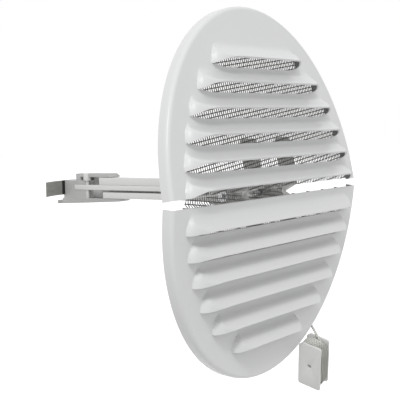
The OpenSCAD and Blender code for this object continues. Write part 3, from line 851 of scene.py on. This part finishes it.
def cut_blank(plan, size):
    rows = size["Rows in band"]
    total_rows = (rows + 1) * (size["Hoods"] + 1)
    total_columns = size["Face columns"] + 2 * RIM_COLUMNS
    blank = plan.node("GeometryNodeMeshGrid", None, {
        "Size X": total_columns - 1, "Size Y": total_rows - 1,
        "Vertices X": total_columns, "Vertices Y": total_rows,
    })
    spot = Spot()
    column, row, _ = plan.parts(plan.node("GeometryNodeInputPosition"))
    spot.column = column + (total_columns - 1) / 2
    row = row + (total_rows - 1) / 2
    past_right = spot.column - (total_columns - 1 - RIM_COLUMNS)
    spot.outside = (RIM_COLUMNS - spot.column).most(past_right).most(0.0)

    seam = (row + 0.5) / (rows + 1)
    bridge = (seam - (seam + 0.5).whole()).size().below(0.01)
    blank = plan.node(
        "GeometryNodeDeleteGeometry", {"domain": "FACE"}, {"Geometry": blank, "Selection": bridge}
    )
    spot.band = seam.whole()
    spot.climb = (row - spot.band * (rows + 1)) / rows
    spot.cut = (spot.band - size["Band shift"]) * size["Pitch"]

    hood_number = spot.band - size["First hood band"]
    next_number = hood_number + 1
    last_number = size["Hoods"] - 0.5
    spot.is_hood = hood_number.above(-0.5) * hood_number.below(last_number)
    spot.cut_above = next_number.above(-0.5) * next_number.below(last_number)
    return blank, spot


print("rim columns:", RIM_COLUMNS, "of which in the bend:", BEND_COLUMNS)

# %% [markdown]
# Before anything is pressed, each row is laid on the half disc: at even heights in a hood's band,
# and by angle in the cap, so that its top stays round. Each row is as wide as the disc is there.

# %% Lay the blank on the half disc
def lie_flat(size, spot):
    side = size["Side"]
    spot.face_radius = size["Radius"] - size["Rim bend"]
    cap_angle = (size["Pitch"] * size["Hoods"] / spot.face_radius).arcsine()
    cap_climb = side.above(0) * spot.climb + side.below(0) * (1 - spot.climb)
    cap_turn = cap_angle + (math.pi / 2 - cap_angle) * cap_climb
    cap_height = side * spot.face_radius * cap_turn.sine()
    even_height = spot.cut + size["Pitch"] * spot.climb
    plain = even_height * spot.is_hood + cap_height * (1 - spot.is_hood)
    spot.plain = side * (side * plain).most(size["Half gap"])

    share = (spot.column - RIM_COLUMNS) / (size["Face columns"] - 1)
    across = (share * 2 - 1).most(-1.0).least(1.0)
    chord = (spot.face_radius * spot.face_radius - spot.plain * spot.plain).most(0.0).root()
    spot.face_x = across * chord


print("rows are laid by height, and by angle in the cap")

# %% [markdown]
# A hood comes forward in a quarter ellipse from each of its ends. The ends are slanted: the higher
# a point is above the cut, the shorter the hood is there. The punch is blunter on the left than on
# the right, so the left end takes a longer run.

# %% How far a hood comes forward
def half_length(size, cut):
    """Half of a hood's length: a point near its crown just stays inside the louvres' circle."""
    far = (cut + size["Hood height"] * 0.8).size().most((cut - size["Sag"]).size())
    return (size["Louvre reach"] * size["Louvre reach"] - far * far).most(0.0).root()


def come_forward(size, spot):
    slant, above_cut = size["End slant"], size["Pitch"] * spot.climb
    spot.to_end = half_length(size, spot.cut) - spot.face_x.size()
    share_up = (above_cut / size["Hood height"]).least(1.0)
    from_end = spot.to_end * slant.cosine() - above_cut * slant.sine()
    from_end = from_end + size["End bulge"] * 4.0 * share_up * (1 - share_up)

    on_left = spot.face_x.below(0.0)
    spot.end_run = size["Right end"] + (size["Left end"] - size["Right end"]) * on_left
    lip_gain = (size["Left lip run"] - size["Right lip run"]) * on_left
    spot.lip_run = size["Right lip run"] + lip_gain
    to_full = 1 - (from_end / spot.end_run).most(0.0).least(1.0)
    spot.ship = size["Hood depth"] * (1 - to_full * to_full).most(0.0).root() * spot.is_hood


print("hoods end in a quarter ellipse")

# %% [markdown]
# Pressing also moves the sheet up and down. The hood's lip is drawn up, away from the cut, and the
# edge on the far side of the cut is drawn down, and so the slot opens. Both moves fade out towards
# the hood's ends, where the cut closes again.

# %% Draw the lips up and the edges down
def open_slots(size, spot):
    to_run = 1 - (spot.to_end / spot.lip_run).most(0.0).least(1.0)
    lift = size["Lip raise"] * (1 - to_run * to_run) * spot.is_hood
    next_end = half_length(size, spot.cut + size["Pitch"]) - spot.face_x.size()
    sag = size["Sag"] * next_end.ease(0.0, spot.end_run) * spot.cut_above
    spot.height = lift + (size["Pitch"] - lift - sag) * spot.climb
    in_hood = spot.cut + spot.height
    in_cap = spot.plain - sag * (1 - spot.is_hood) * spot.climb
    face_z = in_hood * spot.is_hood + in_cap * (1 - spot.is_hood)
    spot.face_z = size["Side"] * (size["Side"] * face_z).most(size["Half gap"])


print("slots open between a lip and the edge below it")

# %% [markdown]
# Seen from the side, a hood is a straight slope from its lip that ends in a round hollow, and
# there the sheet turns back into the flat. The slope touches the hollow's arc, so its angle follows
# from a right triangle. The lesser of section and end gives the depth, with a soft meeting.

# %% Section of a hood
END_BLEND = 1.0 * MM


def shape_section(size, spot):
    crease = size["Crease radius"]
    rise = size["Hood height"] - size["Lip raise"]
    drop = size["Hood depth"] - crease
    span = (rise * rise + drop * drop).root()
    straight = (span * span - crease * crease).root()
    slope = drop.angle_over(rise) + (crease / span).arcsine()
    tangent = slope.sine() / slope.cosine()
    on_slope = size["Hood depth"] - (spot.height - size["Lip raise"]) * tangent
    to_crease = (size["Hood height"] - spot.height).most(0.0)
    on_bow = crease - (crease * crease - to_crease * to_crease).most(0.0).root()
    past = spot.height.above(size["Lip raise"] + straight * slope.cosine())
    section = on_bow * past + on_slope * (1 - past)
    spot.depth = section.soft_least(spot.ship, END_BLEND).most(0.0) * spot.is_hood


print("hood section: a slope and a hollow, blended over", END_BLEND, "m")

# %% [markdown]
# The last columns on each side roll over the edge and run back as the rim. They are part of the
# same grid, so face and rim are one sheet. Both halves, and later both meshes, are made flat and
# then moved in front of the pin and leaned back about it, as they stand in the photograph.

# %% Rim and lean
def roll_rim(plan, size, spot):
    """Every point's finished place in the flat half."""
    bend = size["Rim bend"]
    roll = (spot.outside / BEND_COLUMNS).least(1.0) * (math.pi / 2)
    flange = (spot.outside - BEND_COLUMNS).most(0.0) / (RIM_COLUMNS - BEND_COLUMNS)
    rim_y = bend * (1 - roll.cosine()) + (size["Rim depth"] - bend) * flange
    scale = (spot.face_radius + bend * roll.sine()) / spot.face_radius
    on_rim = spot.outside.above(0.5)
    on_face = 1 - on_rim
    x = spot.face_x * on_face + spot.face_x * scale * on_rim
    y = rim_y * on_rim - spot.depth * on_face
    z = spot.face_z * on_face + spot.plain * scale * on_rim
    return plan.vector(x, y, z)


def leaned(plan, size, shape):
    forward = plan.vector(0.0, -size["Face forward"], 0.0)
    turn = plan.vector(size["Lean"], 0.0, 0.0)
    shape = plan.node("GeometryNodeTransform", None, {"Geometry": shape, "Translation": forward})
    return plan.node("GeometryNodeTransform", None, {"Geometry": shape, "Rotation": turn})


print("the rim takes", RIM_COLUMNS, "columns on each side")

# %% [markdown]
# The rule runs these steps in order. Where a cut stays closed, its two rows lie in one place
# again, and merging them heals the sheet.

# %% Growing rule of a pressed half
HEAL = 0.02 * MM


def pressed_half_tree(material):
    plan, given, keys = group_inputs("pressed_half", half_sizes)
    size = {name: given.of(name) for name in half_sizes}
    sheet, spot = cut_blank(plan, size)
    for press in (lie_flat, come_forward, open_slots, shape_section):
        press(size, spot)
    pressed = {"Geometry": sheet, "Position": roll_rim(plan, size, spot)}
    sheet = plan.node("GeometryNodeSetPosition", None, pressed)
    sheet = plan.node("GeometryNodeMergeByDistance", None, {"Geometry": sheet, "Distance": HEAL})
    close_tree(plan, leaned(plan, size, sheet), material)
    return plan.tree, keys


half_rule, half_keys = pressed_half_tree(powder_coat.material)
print("pressed half rule has", len(half_rule.nodes), "nodes")

# %% [markdown]
# Solidify gives the skin the thickness of the sheet, and its inner side takes the painted
# shade. The cord's hole is drilled through the finished rim of the lower half by a Boolean with a
# thin cylinder, because a drill does the same after the pressing. The lower half's lips stand less
# proud and its slots are narrower than the upper half's, as the photograph shows.

# %% Grow both halves
SHEET_THICKNESS = 1 * MM
HOLE_PLACE, HOLE_OUT = Vector((60, -2.58, -80.71)), Vector((0.6, 0.084, -0.796))
LEAN_DEGREES = {"upper": -9.5, "lower": 6.0}

drill_form = bmesh.new()
bmesh.ops.create_cone(
    drill_form, cap_ends=True, segments=24, radius1=1 * MM, radius2=1 * MM, depth=5 * MM,
    matrix=Matrix.Translation(HOLE_PLACE * MM)
    @ HOLE_OUT.to_track_quat("Z", "Y").to_matrix().to_4x4(),
)
drill_mesh = bpy.data.meshes.new("cord_hole_drill")
drill_form.to_mesh(drill_mesh)
drill_form.free()
drill = bpy.data.objects.new("cord_hole_drill", drill_mesh)
bpy.context.scene.collection.objects.link(drill)
sheet_wall = [("SOLIDIFY", {"thickness": SHEET_THICKNESS, "offset": -1, "material_offset": 1})]
cord_hole = [("BOOLEAN", {"object": drill, "operation": "DIFFERENCE", "solver": "EXACT"})]

for half, settings in {
    "upper": {"Side": 1.0, "First hood band": 0.0, "Band shift": 0.0},
    "lower": {
        "Side": -1.0, "First hood band": 1.0, "Band shift": 7.0, "Lip raise": 1.9 * MM,
        "Sag": 1.1 * MM, "Crease radius": 5 * MM, "Hood depth": 6.8 * MM,
    },
}.items():
    settings["Lean"] = math.radians(LEAN_DEGREES[half])
    plate = grown(
        f"{half}_pressed_half", half_rule, half_keys, settings,
        extra=sheet_wall + (cord_hole if half == "lower" else []), inside=inside_painted_shade.material,
    )
    print("inside faces:", sum(face.material_index == 1 for face in plate.data.polygons),
          "finishes:", [material.name for material in plate.data.materials])
    plate.data.shade_smooth()
    plate.data.set_sharp_from_angle(angle=math.radians(38))
    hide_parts(f"{half}_grille")
    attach(plate, f"{half}_half")
bpy.data.objects.remove(drill)

# %% [markdown]
# ## Insect mesh
# Behind the sheet lies a woven wire mesh: every wire goes over one neighbour and under the next.
# One set of wires is a grid whose cross edges are taken out, and each line that is left is bent
# into a wave whose sign changes from wire to wire. A picture of a weave on a flat sheet would be
# lighter, but it could not show the frayed strip that stands past the lower half's straight edge.
# That strip is cut out at the hinge leaves and bent back, away from the upper half.

# %% One set of parallel wires
mesh_sizes = {
    "Radius": 95 * MM, "Pitch": 2.05 * MM, "Wire radius": 0.28 * MM, "Crimp": 0.14 * MM,
    "Low edge": 0.3 * MM, "Depth": 1.45 * MM, "Turn": math.radians(6.5), "Bend back": 0.0,
    "Hinge gap from": 21 * MM, "Hinge gap to": 31 * MM, "Face forward": 15 * MM,
    "Strip from": -86 * MM, "Strip to": 12 * MM, "Lean": 0.0, "Side": 1.0,
}
# Heights from the split: below zero is past it, in the strip
STRIP_FOOT, PLAIN_EDGE = -0.8 * MM, 0.2 * MM
BEND_FROM, BEND_TO = -0.8 * MM, 0.9 * MM
WIRE_WELD = 0.05 * MM


def wire_set(plan, size, count, upright):
    pitch = size["Pitch"]
    slow, fast = size["Turn"].sine(), size["Turn"].cosine()
    grid = plan.node("GeometryNodeMeshGrid", None, {
        "Size X": (count - 1) * pitch, "Size Y": (count - 1) * pitch,
        "Vertices X": count * 2 - 1, "Vertices Y": count,
    })
    ends = plan.node("GeometryNodeInputMeshEdgeVertices", out="Position 1")
    _, first, _ = plan.parts(ends)
    _, second, _ = plan.parts(ends.of("Position 2"))
    lines = plan.node(
        "GeometryNodeDeleteGeometry", {"domain": "EDGE", "mode": "EDGE_FACE"},
        {"Geometry": grid, "Selection": (first - second).size().above(pitch / 4)},
    )
    run, place, _ = plan.parts(plan.node("GeometryNodeInputPosition"))
    flip = ((place / pitch + 0.25).whole() * math.pi).cosine()
    wave = (run / pitch * math.pi).cosine() * flip * size["Crimp"]
    run_x, run_z = (-slow, fast) if upright else (fast, slow)
    side_x, side_z = (fast, slow) if upright else (-slow, fast)
    limit = (size["Radius"] * size["Radius"] - place * place).most(0.0).root()
    lowest = ((size["Low edge"] - place * side_z) / run_z).most(-limit)
    kept = run.most(lowest).least(limit)
    x = kept * run_x + place * side_x
    z = kept * run_z + place * side_z

    off_strip = (x.below(size["Strip from"]) + x.above(size["Strip to"])).least(1.0)
    at_hinge = x.size().above(size["Hinge gap from"]) * x.size().below(size["Hinge gap to"])
    cut_out = at_hinge * z.below(STRIP_FOOT) + (limit - lowest).below(pitch / 2)
    cut_out = cut_out + off_strip * z.below(PLAIN_EDGE)
    back = size["Bend back"] * (-z).ease(BEND_FROM, BEND_TO)
    depth = size["Depth"] + (-wave if upright else wave) + back
    lines = plan.node(
        "GeometryNodeDeleteGeometry", {"domain": "POINT"},
        {"Geometry": lines, "Selection": cut_out.above(0.5)},
    )
    bent = {"Geometry": lines, "Position": plan.vector(x, depth, size["Side"] * z)}
    lines = plan.node("GeometryNodeSetPosition", None, bent)
    welded = {"Geometry": lines, "Distance": WIRE_WELD}
    lines = plan.node("GeometryNodeMergeByDistance", None, welded)
    return plan.node("GeometryNodeMeshToCurve", None, {"Mesh": lines})


print("mesh pitch", round(mesh_sizes["Pitch"] / MM, 2), "mm")

# %% [markdown]
# The second set of wires is the same rule with across and up exchanged, and its waves are turned
# round, so the two sets pass each other at every crossing. Four sides are enough for a wire of
# half a millimetre. Both meshes come from one tree and differ only in their straight edge.

# %% Weave both meshes
WIRE_SIDES = 4


def woven_tree(material):
    plan, given, keys = group_inputs("woven_mesh", mesh_sizes)
    size = {name: given.of(name) for name in mesh_sizes}
    count = (size["Radius"] * 2 / size["Pitch"]).whole() + 1
    both = plan.tree.nodes.new("GeometryNodeJoinGeometry")
    for wires in [wire_set(plan, size, count, upright) for upright in (False, True)]:
        plan.tree.links.new(wires.socket, both.inputs[0])
    ring = plan.node(
        "GeometryNodeCurvePrimitiveCircle", {"mode": "RADIUS"},
        {"Resolution": WIRE_SIDES, "Radius": size["Wire radius"]},
    )
    cloth = plan.node("GeometryNodeCurveToMesh", None, {
        "Curve": Wire(plan, both.outputs[0]), "Profile Curve": ring, "Fill Caps": True,
    })
    cloth = plan.node("GeometryNodeSetShadeSmooth", None, {"Geometry": cloth})
    close_tree(plan, leaned(plan, size, cloth), material)
    return plan.tree, keys


mesh_rule, mesh_keys = woven_tree(woven_wire.material)
for half, settings in {
    "upper": {"Side": 1.0, "Low edge": 1.1 * MM},
    "lower": {"Side": -1.0, "Low edge": -3.4 * MM, "Bend back": 2.1 * MM},
}.items():
    settings["Lean"] = math.radians(LEAN_DEGREES[half])
    cloth = grown(f"{half}_woven_mesh", mesh_rule, mesh_keys, settings)
    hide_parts(f"{half}_mesh")
    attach(cloth, f"{half}_half")

# %% [markdown]
# ## Size
# The CAD model's box is taken at the start, before any piece is made; the floor hangs below it.
# The dressed model has to stay inside the CAD model's box.
